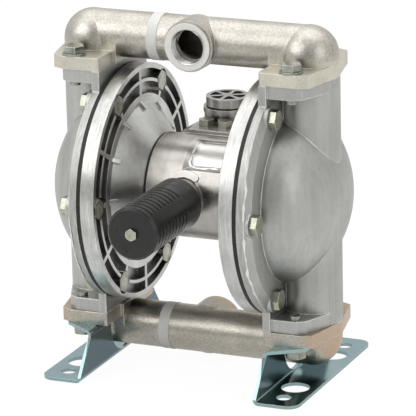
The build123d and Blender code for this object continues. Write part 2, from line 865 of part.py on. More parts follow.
def diaphragm():
    """Right-hand diaphragm: clamped edge, convolution and clamped middle."""
    outer, inner = clamp_radius - convolution_gap, convolution_inner
    middle = (outer + inner) / 2
    edge = rim_radius - gasket_setback
    faces = []
    for x in (air_face, fluid_face):
        arc = ThreePointArc((x, inner), (x - convolution_depth, middle), (x, outer))
        faces.append(arc)
    loop = [
        Line((air_face, stud_radius + fit_gap), (air_face, inner)),
        faces[0],
        Line((air_face, outer), (air_face, edge)),
        Line((air_face, edge), (fluid_face, edge)),
        Line((fluid_face, edge), (fluid_face, outer)),
        faces[1],
        Line((fluid_face, inner), (fluid_face, stud_radius + fit_gap)),
        Line((fluid_face, stud_radius + fit_gap), (air_face, stud_radius + fit_gap)),
    ]
    sheet_face = make_face(Curve() + loop)
    piece = turned_x(sheet_face)
    hole = rod_x(bolt_radius + hole_gain, air_face - 1, fluid_face + 1, chamber_bolt_y, shaft_height)
    return piece - round_shaft(hole, chamber_bolt_count)


def shaft_bush():
    """Right-hand plain bearing of the shaft."""
    outer_end = body_end - bush_setback
    bush = rod_x(shaft_radius + bush_wall, outer_end - bush_length, outer_end, 0, shaft_height)
    return bush - rod_x(
        shaft_radius + running_gap, outer_end - bush_length - 1, outer_end + 1, 0, shaft_height
    )


def shaft_seal():
    """Right-hand shaft seal, outside the bush."""
    start = body_end - bush_setback + (bush_setback - seal_width) / 2
    seal = rod_x(shaft_radius + bush_wall, start, start + seal_width, 0, shaft_height)
    return seal - rod_x(
        shaft_radius + running_gap, start - 1, start + seal_width + 1, 0, shaft_height
    )


def pilot_sleeve():
    """Right-hand guide of the pilot rod."""
    end = body_end
    sleeve = rod_x(
        pilot_radius + pilot_sleeve_wall, end - pilot_sleeve_length, end, pilot_offset, shaft_height
    )
    return sleeve - rod_x(
        pilot_radius + running_gap, end - pilot_sleeve_length - 1, end + 1, pilot_offset, shaft_height
    )


def pilot_rod():
    """Rod that the discs push at the ends of the stroke."""
    half = pilot_length / 2
    return rod_x(pilot_radius, -half, half, pilot_offset, shaft_height)


# Valves


def valve_seat(face):
    """Right-hand seat whose top is flush with a joint face."""
    profile = outline(
        (seat_bore, -seat_height),
        (seat_radius, -seat_height),
        (seat_radius, 0),
        (seat_bore + seat_chamfer, 0),
        (seat_bore, -seat_chamfer),
    )
    ring = revolve(Plane.XZ * profile, Axis.Z)
    return Pos(column_x, 0, face) * ring


def seat_ring(face):
    """Square ring that seals a right-hand seat."""
    return ring_z(ring_inner, ring_inner + ring_width, face - ring_height, face, column_x)


def ball(face):
    """Right-hand ball, at rest on the seat below a joint face."""
    return Pos(column_x, 0, ball_centre(face)) * Sphere(ball_radius)


# Muffler


def muffler_tube():
    """Slotted muffler body with the spigot that goes into the exhaust port."""
    back = -muffler_start
    front = back - muffler_length
    tube = rod_y(muffler_radius, back, front, 0, muffler_z)
    tube = chamfer(tube.edges().filter_by(GeomType.CIRCLE).sort_by(Axis.Y)[-1], muffler_taper)
    tube += rod_y(muffler_spigot_radius, back, back + muffler_spigot, 0, muffler_z)
    inside = back - muffler_base + muffler_pocket
    tube -= rod_y(muffler_radius - muffler_wall, inside, front - 1, 0, muffler_z)
    tube -= rod_y(muffler_spigot_bore, back + muffler_spigot + 1, front, 0, muffler_z)
    reach = muffler_radius + 2
    half = strip_angle / 2
    strips = []
    for i in range(strip_count):
        middle = strip_middle + i * 360 / strip_count
        corners = [(0, 0)]
        for angle in (middle - half, middle + half):
            corners.append(
                (2 * reach * math.cos(math.radians(angle)), 2 * reach * math.sin(math.radians(angle)))
            )
        strips.append(outline(*corners))
    keep = Circle(muffler_radius - muffler_wall - 1)
    pattern = Circle(reach) - keep - strips
    for i in range(slot_count):
        start = front + slot_first + i * slot_pitch
        slot = Pos(0, start + slot_width, muffler_z) * Rot(90, 0, 0) * extrude(pattern, slot_width)
        tube -= slot
    return tube


def muffler_end_cap():
    """Round front cap of the muffler."""
    start = -muffler_start - muffler_length
    front = start - end_cap_thickness
    cap = rod_y(muffler_radius, start, front, 0, muffler_z)
    rim = cap.edges().filter_by(GeomType.CIRCLE).sort_by(Axis.Y)[0]
    cap = chamfer(rim, end_cap_round)
    cap += rod_y(
        muffler_radius - muffler_wall - fit_gap, start, start + end_cap_lip, 0, muffler_z
    )
    for turn, radius in ((0, mark_radius), (90, dot_radius), (180, dot_radius), (270, dot_radius)):
        angle = math.radians(mark_angle + turn)
        x, z = mark_place * math.cos(angle), muffler_z + mark_place * math.sin(angle)
        cap -= rod_y(radius, front - 1, front + mark_depth, x, z)
    return cap - rod_y(
        muffler_bolt_radius + hole_gain, front - 1, start + end_cap_lip + 1, 0, muffler_z
    )


def muffler_element():
    """Fibre roll inside the muffler."""
    back = -muffler_start - muffler_base + muffler_pocket
    front = -muffler_start - muffler_length + end_cap_lip + element_gap
    outer = muffler_radius - muffler_wall - element_gap
    roll = rod_y(outer, back - element_gap, front, 0, muffler_z)
    return roll - rod_y(outer - element_wall, back + 1, front - 1, 0, muffler_z)


def muffler_bolt():
    """Bolt in the middle of the end cap."""
    face = -muffler_start - muffler_length - end_cap_thickness
    bolt = hex_bolt(muffler_bolt_radius, muffler_bolt_flats, muffler_bolt_head, muffler_bolt_length)
    return Pos(0, face, muffler_z) * Rot(90, 0, 0) * Rot(0, 0, 30) * bolt


# Feet


def foot_bracket():
    """Right-hand bracket: foot plate, upright web and bolting flange, bent from one sheet."""
    half = bracket_half_length
    web_outer = bracket_inner + sheet
    profile = outline(
        (bracket_inner, 0),
        (bracket_outer, 0),
        (bracket_outer, sheet),
        (web_outer, sheet),
        (web_outer, foot_height - sheet),
        (top_flange_outer, foot_height - sheet),
        (top_flange_outer, foot_height),
        (bracket_inner, foot_height),
    )
    fold = extrude(Plane.XZ * profile, half, both=True)
    for place, radius in ((bracket_inner, bend_radius + sheet), (web_outer, bend_radius)):
        bend = [e for e in fold.edges().filter_by(Axis.Y) if abs(e.center().X - place) < fit_gap]
        fold = fillet(bend, radius)
    bend_height = sheet + bend_radius
    web_plan = outline(
        (-half, 0),
        (half, 0),
        (half, bend_height),
        (web_top_half, foot_height - bend_height),
        (web_top_half, foot_height),
        (-web_top_half, foot_height),
        (-web_top_half, foot_height - bend_height),
        (-half, bend_height),
    )
    upright = Pos(bracket_inner, 0, 0) * extrude(Plane.YZ * web_plan, bracket_outer - bracket_inner)
    plate = block(bracket_inner, bracket_outer, -half, half, 0, foot_height / 2)
    plate = fillet(plate.edges().filter_by(Axis.Z).group_by(Axis.X)[-1], bracket_corner)
    flange = extrude(
        outline(
            (bracket_inner, -web_top_half),
            (top_flange_outer, -top_flange_half),
            (top_flange_outer, top_flange_half),
            (bracket_inner, web_top_half),
        ),
        foot_height / 2,
    )
    flange = fillet(flange.edges().filter_by(Axis.Z).group_by(Axis.X)[-1], bracket_corner / 2)
    bracket = fold & upright & (plate + Pos(0, 0, foot_height / 2) * flange)
    bracket -= rod_x(
        web_opening, bracket_inner - 1, bracket_inner + sheet + 1, 0, suction_pipe_z
    )
    bracket -= block(
        bracket_inner - 1,
        bracket_inner + sheet + 1,
        -web_opening,
        web_opening,
        suction_pipe_z,
        foot_height + 1,
    )
    bracket -= rod_z(
        elbow_radius + bracket_gap, foot_height - sheet - 1, foot_height + 1, column_x
    )
    bracket -= block(
        bracket_inner - 1,
        column_x,
        -web_opening,
        web_opening,
        foot_height - sheet - 1,
        foot_height + 1,
    )
    bracket -= block(
        column_x,
        bracket_outer + 1,
        -elbow_radius - bracket_gap,
        elbow_radius + bracket_gap,
        foot_height - sheet - 1,
        foot_height + 1,
    )
    bracket -= manifold_bolt_holes(foot_height - sheet - 1, foot_height + 1, hole_gain)
    for y in (-foot_hole_y, foot_hole_y):
        bracket -= rod_z(foot_hole_radius, -1, sheet + 1, foot_hole_spacing / 2, y)
    for y in (-light_hole_y, light_hole_y):
        bracket -= rod_z(light_hole_radius, -1, sheet + 1, foot_hole_spacing / 2, y)
    return bracket


# Fastener groups


def chamber_bolts():
    """Bolts round the right-hand diaphragm, with their heads on the dome side."""
    length = flange_face - plate_face + nut_height
    bolt = Rot(0, 0, 30) * hex_bolt(bolt_radius, bolt_flats, bolt_head, length)
    placed = Pos(flange_face, chamber_bolt_y, shaft_height) * Rot(0, 90, 0) * bolt
    return round_shaft(placed, chamber_bolt_count)


def chamber_nuts():
    """Nuts of those bolts, in pockets between the ribs."""
    placed = Pos(plate_face, chamber_bolt_y, shaft_height) * Rot(0, -90, 0) * nut(
        bolt_radius, bolt_flats, nut_height
    )
    return round_shaft(placed, chamber_bolt_count)


def manifold_bolts(head_z, up, length):
    """Four manifold bolts, heads up (1) or down (-1)."""
    bolt = hex_bolt(bolt_radius, bolt_flats, bolt_head, length)
    if up < 0:
        bolt = Rot(180, 0, 0) * bolt
    return [Pos(x, y, head_z) * bolt for x, y in manifold_bolt_places]


def manifold_washers(face_z, up):
    """Four washers on (1) or under (-1) a face."""
    low = face_z if up > 0 else face_z - washer_thickness
    return [Pos(x, y, low) * washer() for x, y in manifold_bolt_places]


def tape_band(place, pipe_z):
    """A plain band of tape round a manifold pipe."""
    start = -place - band_width / 2
    band = rod_x(pipe_radius + band_gap + band_thickness, start, start + band_width, 0, pipe_z)
    return band - rod_x(pipe_radius + band_gap, start - 1, start + band_width + 1, 0, pipe_z)


# Whole pump
grip = manifold_flange + chamber_end_flange
discharge_head_z = discharge_face + manifold_flange + washer_thickness
suction_head_z = foot_height - sheet - washer_thickness
body_top = shaft_height + housing_top
body_bottom = shaft_height - housing_bottom

pieces = {
    "centre_body": centre_body(),
    "discharge_manifold": manifold(discharge_face, 1, discharge_pipe_z, discharge_elbow, -1),
    "suction_manifold": manifold(suction_face, -1, suction_pipe_z, suction_elbow, 1),
    "discharge_bolts": manifold_bolts(discharge_head_z, 1, washer_thickness + grip + bolt_end),
    "discharge_washers": manifold_washers(discharge_head_z - washer_thickness, 1),
    "suction_bolts": manifold_bolts(
        suction_head_z, -1, washer_thickness + sheet + grip + bolt_end
    ),
    "suction_washers": manifold_washers(foot_height - sheet, -1),
    "upper_valve_cap": valve_cap(body_top + cap_seal, 1),
    "lower_valve_cap": valve_cap(body_bottom - cap_seal, -1),
    "upper_cap_seal": cap_seal_ring(body_top),
    "lower_cap_seal": cap_seal_ring(body_bottom - cap_seal),
    "valve_sleeve": valve_sleeve(),
    "valve_spool": valve_spool(),
    "body_plugs": [
        Pos(x, y, shaft_height + saddle_rise) * hex_bolt(plug_radius, plug_flats, plug_head, plug_depth - 1)
        for x, y in plug_places()
    ],
    "shaft": shaft(),
    "pilot_rod": pilot_rod(),
    "muffler_body": muffler_tube(),
    "muffler_element": muffler_element(),
    "muffler_end_cap": muffler_end_cap(),
    "muffler_bolt": muffler_bolt(),
    "upper_tape_band": tape_band(upper_band_place, discharge_pipe_z),
    "lower_tape_band": tape_band(lower_band_place, suction_pipe_z),
}

right_hand = {
    "out_chamber": out_chamber(),
    "air_chamber": air_chamber(),
    "body_gasket": body_gasket(),
    "foot_bracket": foot_bracket(),
    "diaphragm": diaphragm(),
    "inner_disc": inner_disc(),
    "outer_disc": outer_disc(),
    "disc_nut": disc_nut(),
    "shaft_bush": shaft_bush(),
    "shaft_seal": shaft_seal(),
    "discharge_seat": valve_seat(discharge_face),
    "suction_seat": valve_seat(suction_face),
    "discharge_ball": ball(discharge_face),
    "suction_ball": ball(suction_face),
}
for name, piece in right_hand.items():
    pieces["right_" + name] = [piece]
    pieces["left_" + name] = [left_of(piece)]

# Small identical pieces of both sides share a node
shared = {
    "body_screws": body_screws(),
    "chamber_bolts": chamber_bolts(),
    "chamber_nuts": chamber_nuts(),
    "pilot_sleeves": [pilot_sleeve()],
    "seat_rings": [seat_ring(discharge_face), seat_ring(suction_face)],
}
for name, group in shared.items():
    pieces[name] = group + [left_of(one) for one in group]

os.makedirs("parts", exist_ok=True)
for name, piece in pieces.items():
    group = piece if isinstance(piece, list) else [piece]
    solids = [solid for one in group for solid in one.solids()]
    whole = solids[0] if len(solids) == 1 else Compound(children=solids)
    export_step(whole, f"parts/{name}.step")
    print(name, len(solids))
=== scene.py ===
import bpy
import bmesh
import math
from mathutils import Matrix, Vector, noise as lattice
from mathutils.bvhtree import BVHTree
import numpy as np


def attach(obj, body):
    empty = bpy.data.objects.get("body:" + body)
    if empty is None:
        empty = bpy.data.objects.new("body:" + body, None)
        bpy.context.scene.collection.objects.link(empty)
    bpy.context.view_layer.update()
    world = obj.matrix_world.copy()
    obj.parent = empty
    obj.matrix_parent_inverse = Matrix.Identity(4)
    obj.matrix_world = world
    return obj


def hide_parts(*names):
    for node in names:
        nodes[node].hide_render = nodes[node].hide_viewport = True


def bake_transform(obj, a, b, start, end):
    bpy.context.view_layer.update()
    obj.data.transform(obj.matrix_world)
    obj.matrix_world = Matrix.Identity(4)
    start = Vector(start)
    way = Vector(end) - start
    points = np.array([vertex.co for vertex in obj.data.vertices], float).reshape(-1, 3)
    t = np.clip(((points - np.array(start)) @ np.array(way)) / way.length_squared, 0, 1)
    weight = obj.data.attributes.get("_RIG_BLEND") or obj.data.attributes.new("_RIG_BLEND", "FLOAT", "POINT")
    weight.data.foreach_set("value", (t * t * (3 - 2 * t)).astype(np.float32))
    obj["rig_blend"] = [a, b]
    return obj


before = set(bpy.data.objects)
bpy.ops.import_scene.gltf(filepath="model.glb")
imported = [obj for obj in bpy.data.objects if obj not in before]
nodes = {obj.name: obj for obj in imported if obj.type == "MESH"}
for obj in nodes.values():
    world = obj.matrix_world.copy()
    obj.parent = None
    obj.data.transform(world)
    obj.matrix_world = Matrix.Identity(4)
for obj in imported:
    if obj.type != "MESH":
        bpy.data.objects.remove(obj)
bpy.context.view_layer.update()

# Places in metres, as the CAD model has them
SHAFT_Z = 0.168
OUTLET_Z, INLET_Z = 0.3055, 0.0313
PORT_FACE = 0.030
AIR_INLET_Y = 0.0750
FLANGE_CORNER_X, FLANGE_RADIUS = 0.084, 0.1084
RIM_RADIUS = 0.1070
BOLT_X, BOLT_Y = 0.105, 0.043
BOLT_TOP, BOLT_LOW = 0.2700, 0.0660
DIAPHRAGM_X = 0.075
FLEX_OUTER, FLEX_INNER = 0.080, 0.052
STEP_Z, STEP_INNER_Y, STEP_OUTER_Y = 0.021, 0.072, 0.084
# Threads: the wall's radius, and the thread's depth, pitch and length
PIPE_THREAD = (0.0164, 0.0011, 0.0023, 0.0128)
AIR_THREAD = (0.0076, 0.0006, 0.0013, 0.0125)
BOLT_THREAD = (0.0048, 0.0004, 0.00125, 0.0030)
PIPE_THREAD_INSET = 0.0132
# Casting flash: width and height
FLANGE_FLASH = (0.0026, 0.0004)
PANEL_FLASH = (0.0034, 0.0003)
# The flash on each round flange, in degrees up from the front
FLASH_RUNS = (("right", 1, 24, -46), ("left", -1, 0, -62))
# The upper left and lower edges of the body's sunk panel: x, and degrees up from the front
PANEL_EDGE = [(-0.0005, 80), (0.0012, 72), (0.0008, 62), (0.0003, 52), (0.0008, 44), (0.0030, 40),
              (0.0085, 38), (0.0160, 37.6), (0.0240, 38), (0.0310, 39)]


# Node helpers

def tree_of(name):
    """A new material with its node tree and its Principled shader."""
    material = bpy.data.materials.new(name)
    material.use_nodes = True
    return material, material.node_tree, material.node_tree.nodes["Principled BSDF"]


def add(tree, kind, **values):
    """A node with its inputs and properties set by name."""
    node = tree.nodes.new(kind)
    for key, value in values.items():
        if key in node.inputs:
            node.inputs[key].default_value = value
        else:
            setattr(node, key, value)
    return node


def place(tree, scale=(1, 1, 1)):
    """Object coordinates, stretched by scale."""
    coords = add(tree, "ShaderNodeTexCoord")
    mapping = add(tree, "ShaderNodeMapping")
    mapping.inputs["Scale"].default_value = scale
    tree.links.new(coords.outputs["Object"], mapping.inputs["Vector"])
    return mapping.outputs["Vector"]


def noise(tree, where, scale, detail=4.0, rough=0.55, distortion=0.0):
    """Noise from 0 to 1 at a place."""
    node = add(tree, "ShaderNodeTexNoise", Scale=scale, Detail=detail, Roughness=rough,
               Distortion=distortion)
    tree.links.new(where, node.inputs["Vector"])
    return node.outputs["Fac"]


def spread(tree, value, low, high, start=0.3, end=0.7):
    """A value from start to end becomes low to high."""
    node = add(tree, "ShaderNodeMapRange")
    node.inputs["From Min"].default_value = start
    node.inputs["From Max"].default_value = end
    node.inputs["To Min"].default_value = low
    node.inputs["To Max"].default_value = high
    tree.links.new(value, node.inputs["Value"])
    return node.outputs["Result"]


def blend(tree, factor, one, two):
    """Two colours, mixed by a factor. Each may be a value or a socket."""
    node = add(tree, "ShaderNodeMix", data_type="RGBA")
    # Inputs 0, 6 and 7 are the factor and the two colours, and output 2 is the mixed colour
    for socket, value in zip((node.inputs[0], node.inputs[6], node.inputs[7]), (factor, one, two)):
        if isinstance(value, bpy.types.NodeSocket):
            tree.links.new(value, socket)
        elif isinstance(value, (int, float)):
            socket.default_value = value
        else:
            socket.default_value = (*value, 1)
    return node.outputs[2]


def maths(tree, operation, one, two=None):
    """A Math node on one or two values or sockets."""
    node = add(tree, "ShaderNodeMath", operation=operation)
    for socket, value in zip(node.inputs, (one, two)):
        if isinstance(value, bpy.types.NodeSocket):
            tree.links.new(value, socket)
        elif value is not None:
            socket.default_value = value
    return node.outputs[0]


def bumps(tree, shader, heights, soft_edge=0.0):
    """Stacks heights, each (socket, depth in metres), over edges rounded by soft_edge."""
    normal = None
    if soft_edge:
        bevel = add(tree, "ShaderNodeBevel", samples=4)
        bevel.inputs["Radius"].default_value = soft_edge
        normal = bevel.outputs["Normal"]
    for height, depth in heights:
        bump = add(tree, "ShaderNodeBump")
        bump.inputs["Strength"].default_value = 1.0
        bump.inputs["Distance"].default_value = depth
        tree.links.new(height, bump.inputs["Height"])
        if normal:
            tree.links.new(normal, bump.inputs["Normal"])
        normal = bump.outputs["Normal"]
    tree.links.new(normal, shader.inputs["Normal"])


def edges(tree, radius, full):
    """full within about radius of an edge, 0 elsewhere: where the rounded normal leaves the real one."""
    bevel = add(tree, "ShaderNodeBevel", samples=4)
    bevel.inputs["Radius"].default_value = radius
    geometry = add(tree, "ShaderNodeNewGeometry")
    dot = add(tree, "ShaderNodeVectorMath", operation="DOT_PRODUCT")
    tree.links.new(bevel.outputs["Normal"], dot.inputs[0])
    tree.links.new(geometry.outputs["Normal"], dot.inputs[1])
    return spread(tree, dot.outputs["Value"], 0.0, full, 0.995, 0.93)


def recesses(tree, reach, full):
    """A mask for painted shade: full in deep pockets and inner corners, 0 on open faces."""
    shelter = add(tree, "ShaderNodeAmbientOcclusion", samples=6)
    shelter.inputs["Distance"].default_value = reach
    return spread(tree, shelter.outputs["AO"], full, 0.0, 0.25, 0.80)


def around_shaft(tree):
    """Coordinates that run round the shaft's line, and the distance from it."""
    coords = add(tree, "ShaderNodeTexCoord")
    shift = add(tree, "ShaderNodeVectorMath", operation="SUBTRACT")
    shift.inputs[1].default_value = (0, 0, SHAFT_Z)
    tree.links.new(coords.outputs["Object"], shift.inputs[0])
    flat = add(tree, "ShaderNodeVectorMath", operation="MULTIPLY")
    flat.inputs[1].default_value = (0, 1, 1)
    tree.links.new(shift.outputs["Vector"], flat.inputs[0])
    length = add(tree, "ShaderNodeVectorMath", operation="LENGTH")
    tree.links.new(flat.outputs["Vector"], length.inputs[0])
    unit = add(tree, "ShaderNodeVectorMath", operation="NORMALIZE")
    tree.links.new(flat.outputs["Vector"], unit.inputs[0])
    ring = add(tree, "ShaderNodeVectorMath", operation="SCALE", Scale=7.0)
    tree.links.new(unit.outputs["Vector"], ring.inputs[0])
    split = add(tree, "ShaderNodeSeparateXYZ")
    tree.links.new(shift.outputs["Vector"], split.inputs[0])
    across = add(tree, "ShaderNodeCombineXYZ")
    tree.links.new(maths(tree, "MULTIPLY", split.outputs["X"], 900.0), across.inputs[0])
    tree.links.new(maths(tree, "MULTIPLY", length.outputs["Value"], 500.0), across.inputs[1])
    where = add(tree, "ShaderNodeVectorMath", operation="ADD")
    tree.links.new(ring.outputs["Vector"], where.inputs[0])
    tree.links.new(across.outputs["Vector"], where.inputs[1])
    return where.outputs["Vector"], length.outputs["Value"]


def metal(name, light, dark, rough, grain=0.00003, grain_scale=1400.0, cloud=16.0, streak=None,
          soft_edge=0.0008, patches_of=(), wave=0.00012, wear_and_highlight=None, recess_shade=None, rim=None,
          specks=0.16, speck_scale=None):
    """Metal with clouded colour, uneven gloss, a fine grain and softened edges, lightened partly as worn
    metal and partly as a painted highlight.

    light, dark: the two colours that the clouds mix; rough: lowest and highest roughness
    grain, wave: depths of the fine and the broad bumps; streak: scale of drawn-out marks
    wear_and_highlight: radius and colour of edges lightened partly as rubbed wear and partly as a painted
    highlight; recess_shade: reach and strength of the painted shade that darkens recesses
    rim: radius round the shaft beyond which turning marks and scrapes show
    """
    material, tree, shader = tree_of(name)
    shader.inputs["Metallic"].default_value = 1.0
    where = place(tree)
    clouds = noise(tree, where, cloud, 6.0, 0.6)
    colour = blend(tree, spread(tree, clouds, 0, 1), dark, light)
    speck = noise(tree, where, speck_scale or grain_scale * 0.45, 3.0, 0.7)
    colour = blend(tree, spread(tree, speck, 0.0, specks, 0.35, 0.75), colour,
                   [c * 0.55 for c in dark])
    if streak:
        lines = noise(tree, place(tree, streak), 1.0, 5.0, 0.65)
        colour = blend(tree, spread(tree, lines, 0.0, 0.35, 0.45, 0.8), colour,
                       [c * 0.6 for c in dark])
    for patch in patches_of:
        amount, tint = patch(tree)
        colour = blend(tree, amount, colour, tint)
    heights = [(noise(tree, where, 70.0, 3.0), wave), (noise(tree, where, grain_scale, 2.0), grain)]
    if rim:
        ring, radius = around_shaft(tree)
        on_rim = maths(tree, "MULTIPLY", spread(tree, radius, 0.0, 1.0, rim - 0.0008, rim),
                       spread(tree, radius, 1.0, 0.0, rim + 0.0018, rim + 0.0022))
        scratch = noise(tree, ring, 1.0, 5.0, 0.65)
        marks = maths(tree, "MULTIPLY", on_rim, spread(tree, scratch, 0.0, 0.55, 0.50, 0.72))
        colour = blend(tree, marks, colour, [c * 0.55 for c in dark])
        scrapes = noise(tree, ring, 0.45, 3.0, 0.6, 0.8)
        shine = maths(tree, "MULTIPLY", on_rim, spread(tree, scrapes, 0.0, 0.60, 0.56, 0.72))
        colour = blend(tree, shine, colour, (0.90, 0.90, 0.88))
        heights.append((maths(tree, "MULTIPLY", on_rim, scratch), 0.00008))
    # Painted shade: pockets and inner corners are darkened towards the dark colour
    if recess_shade:
        colour = blend(tree, recesses(tree, *recess_shade), colour, [c * 0.22 for c in dark])
    # Edges and creases lightened: partly rubbed wear, partly a painted highlight
    if wear_and_highlight:
        broken = spread(tree, noise(tree, where, 90.0, 4.0), 0.25, 1.0, 0.35, 0.6)
        rub_and_highlight = maths(tree, "MULTIPLY", edges(tree, wear_and_highlight[0], 1.0), broken)
        colour = blend(tree, rub_and_highlight, colour, wear_and_highlight[1])
    tree.links.new(colour, shader.inputs["Base Color"])
    patches = noise(tree, where, cloud * 2.3, 5.0, 0.6)
    tree.links.new(spread(tree, patches, rough[0], rough[1]), shader.inputs["Roughness"])
    if streak:
        heights.append((lines, 0.00002))
    bumps(tree, shader, heights, soft_edge)
    return material


def axes(tree):
    """The object coordinates' X, Y and Z."""
    split = add(tree, "ShaderNodeSeparateXYZ")
    coords = add(tree, "ShaderNodeTexCoord")
    tree.links.new(coords.outputs["Object"], split.inputs[0])
    return split


def pale_flanges(tree):
    """A pale straw colour mixed into the upper manifold's end flanges, below the elbows."""
    split = axes(tree)
    outwards = maths(tree, "ABSOLUTE", split.outputs["X"])
    ends = spread(tree, outwards, 0.0, 1.0, 0.070, 0.080)
    low = spread(tree, split.outputs["Z"], 0.75, 0.0, 0.2945, 0.3000)
    uneven = spread(tree, noise(tree, place(tree), 45.0, 4.0), 0.35, 0.85)
    return maths(tree, "MULTIPLY", maths(tree, "MULTIPLY", ends, low), uneven), (0.84, 0.81, 0.67)


def turned_face(tree):
    """The turned faces of the two ports are brighter than the cast skin."""
    split = axes(tree)
    out = maths(tree, "ABSOLUTE", split.outputs["Y"])
    near = spread(tree, maths(tree, "ABSOLUTE", split.outputs["X"]), 1.0, 0.0, 0.028, 0.030)
    face = spread(tree, out, 0.0, 0.75, 0.0292, 0.0296)
    return maths(tree, "MULTIPLY", face, near), (0.92, 0.91, 0.88)


def painted_web_shade(tree):
    """Painted shade: the two broad faces of each bracket's web are darkened, where shade falls on them."""
    split = axes(tree)
    geometry = add(tree, "ShaderNodeNewGeometry")
    normal = add(tree, "ShaderNodeSeparateXYZ")
    tree.links.new(geometry.outputs["Normal"], normal.inputs[0])
    broad = spread(tree, maths(tree, "ABSOLUTE", normal.outputs["X"]), 0.0, 0.9, 0.6, 0.8)
    low = spread(tree, split.outputs["Z"], 0.0, 1.0, 0.0035, 0.0060)
    high = spread(tree, split.outputs["Z"], 1.0, 0.0, 0.0370, 0.0385)
    return maths(tree, "MULTIPLY", maths(tree, "MULTIPLY", low, high), broad), (0.09, 0.14, 0.16)


def panel_painted_light(tree):
    """Painted light: the floor of the body's sunk panel is coloured brighter than the skin round it."""
    split = axes(tree)
    radius = around_shaft(tree)[1]
    deep = spread(tree, radius, 1.0, 0.0, 0.0450, 0.0466)
    right = spread(tree, split.outputs["X"], 0.0, 1.0, 0.0, 0.006)
    front = spread(tree, split.outputs["Y"], 0.9, 0.0, -0.012, -0.006)
    shallow = spread(tree, radius, 0.0, 1.0, 0.0400, 0.0430)
    sides = maths(tree, "MULTIPLY", deep, right)
    ends = maths(tree, "MULTIPLY", front, shallow)
    return maths(tree, "MULTIPLY", sides, ends), (0.90, 0.89, 0.86)


def warm_ends(tree):
    """A warm heat tint on the lower manifold's outer elbows and its rear boss."""
    split = axes(tree)
    outwards = maths(tree, "ABSOLUTE", split.outputs["X"])
    ends = spread(tree, outwards, 0.0, 1.0, 0.112, 0.126)
    rear = spread(tree, split.outputs["Y"], 0.0, 1.0, 0.012, 0.024)
    mask = maths(tree, "MAXIMUM", ends, rear)
    return maths(tree, "MULTIPLY", mask, 0.75), (0.58, 0.42, 0.29)


STAINLESS = metal("cast stainless", (0.74, 0.71, 0.65), (0.54, 0.51, 0.45), (0.34, 0.46),
                  grain=0.00016, grain_scale=560, cloud=26, wave=0.00018, soft_edge=0.0010,
                  patches_of=(pale_flanges, turned_face), wear_and_highlight=(0.0012, (0.92, 0.90, 0.84)),
                  recess_shade=(0.012, 0.5), specks=0.70, speck_scale=480)
# Painted shade: a darker copy of the cast stainless for the low manifold; warm_ends adds its heat tint
SHADED_STAINLESS = metal("cast stainless, painted shade, heat tinted", (0.66, 0.63, 0.56), (0.46, 0.43, 0.37),
                      (0.28, 0.40), grain=0.00016, grain_scale=560, cloud=26, wave=0.00018,
                      soft_edge=0.0010,
                      patches_of=(warm_ends, turned_face), wear_and_highlight=(0.0012, (0.86, 0.80, 0.72)),
                      recess_shade=(0.012, 0.5), specks=0.70, speck_scale=480)
CHAMBER = metal("blasted casting", (0.58, 0.58, 0.56), (0.44, 0.44, 0.42), (0.38, 0.52),
                grain=0.00008, grain_scale=900, cloud=14, streak=(240, 240, 9), wave=0.00030,
                soft_edge=0.0014, wear_and_highlight=(0.0020, (0.90, 0.90, 0.88)), recess_shade=(0.010, 0.40),
                rim=RIM_RADIUS)
ALUMINIUM = metal("die cast aluminium", (0.78, 0.78, 0.76), (0.46, 0.46, 0.44), (0.28, 0.42),
                  grain=0.00006, grain_scale=1000, cloud=26, wave=0.00035,
                  wear_and_highlight=(0.0009, (0.92, 0.92, 0.90)), recess_shade=(0.016, 0.62), rim=RIM_RADIUS)
# The body's sunk panel floor gets painted light through its patch
BODY = metal("body casting", (0.60, 0.58, 0.55), (0.40, 0.38, 0.35), (0.26, 0.40),
             grain=0.00006, grain_scale=1100, cloud=24, streak=(200, 20, 20), wave=0.00030,
             patches_of=(panel_painted_light,), wear_and_highlight=(0.0016, (0.94, 0.93, 0.90)), recess_shade=(0.012, 0.75))
BLUE_ZINC = metal("blue zinc plating", (0.36, 0.51, 0.52), (0.26, 0.39, 0.43), (0.10, 0.20),
                  grain=0.00001, grain_scale=900, cloud=14, wave=0.00006, soft_edge=0.0004,
                  patches_of=(painted_web_shade,), wear_and_highlight=(0.0007, (0.72, 0.73, 0.63)))
YELLOW_ZINC = metal("pale zinc plating", (0.60, 0.58, 0.45), (0.28, 0.31, 0.26), (0.14, 0.28),
                    grain=0.00001, grain_scale=1500, cloud=150, wave=0.00003, soft_edge=0.0005,
                    wear_and_highlight=(0.0006, (0.90, 0.89, 0.80)), recess_shade=(0.006, 0.5))
BOLT_ZINC = metal("greenish zinc plating", (0.46, 0.47, 0.40), (0.20, 0.23, 0.20), (0.10, 0.22),
                  grain=0.00001, grain_scale=1500, cloud=150, wave=0.00003, soft_edge=0.0005,
                  wear_and_highlight=(0.0006, (0.92, 0.91, 0.84)), recess_shade=(0.006, 0.6))
DULL_ZINC = metal("dull zinc plating", (0.52, 0.51, 0.45), (0.30, 0.30, 0.26), (0.24, 0.40),
                  grain=0.00001, grain_scale=1500, cloud=120, wave=0.00003, soft_edge=0.0004,
                  wear_and_highlight=(0.0005, (0.55, 0.54, 0.47)))
SCRAPED = metal("scraped metal", (0.95, 0.95, 0.93), (0.80, 0.80, 0.78), (0.34, 0.50),
                grain=0.00005, grain_scale=1200, cloud=90, soft_edge=0.0)
THREADED = metal("cut thread", (0.92, 0.91, 0.89), (0.74, 0.73, 0.71), (0.14, 0.24),
                 grain=0.00001, grain_scale=1500, soft_edge=0.0)
STEEL = metal("ground steel", (0.60, 0.60, 0.60), (0.52, 0.52, 0.52), (0.12, 0.22),
              grain=0.000005, streak=(6, 500, 500), soft_edge=0.0003)
BRONZE = metal("bearing bronze", (0.60, 0.40, 0.16), (0.45, 0.28, 0.10), (0.28, 0.38), grain=0.00001)


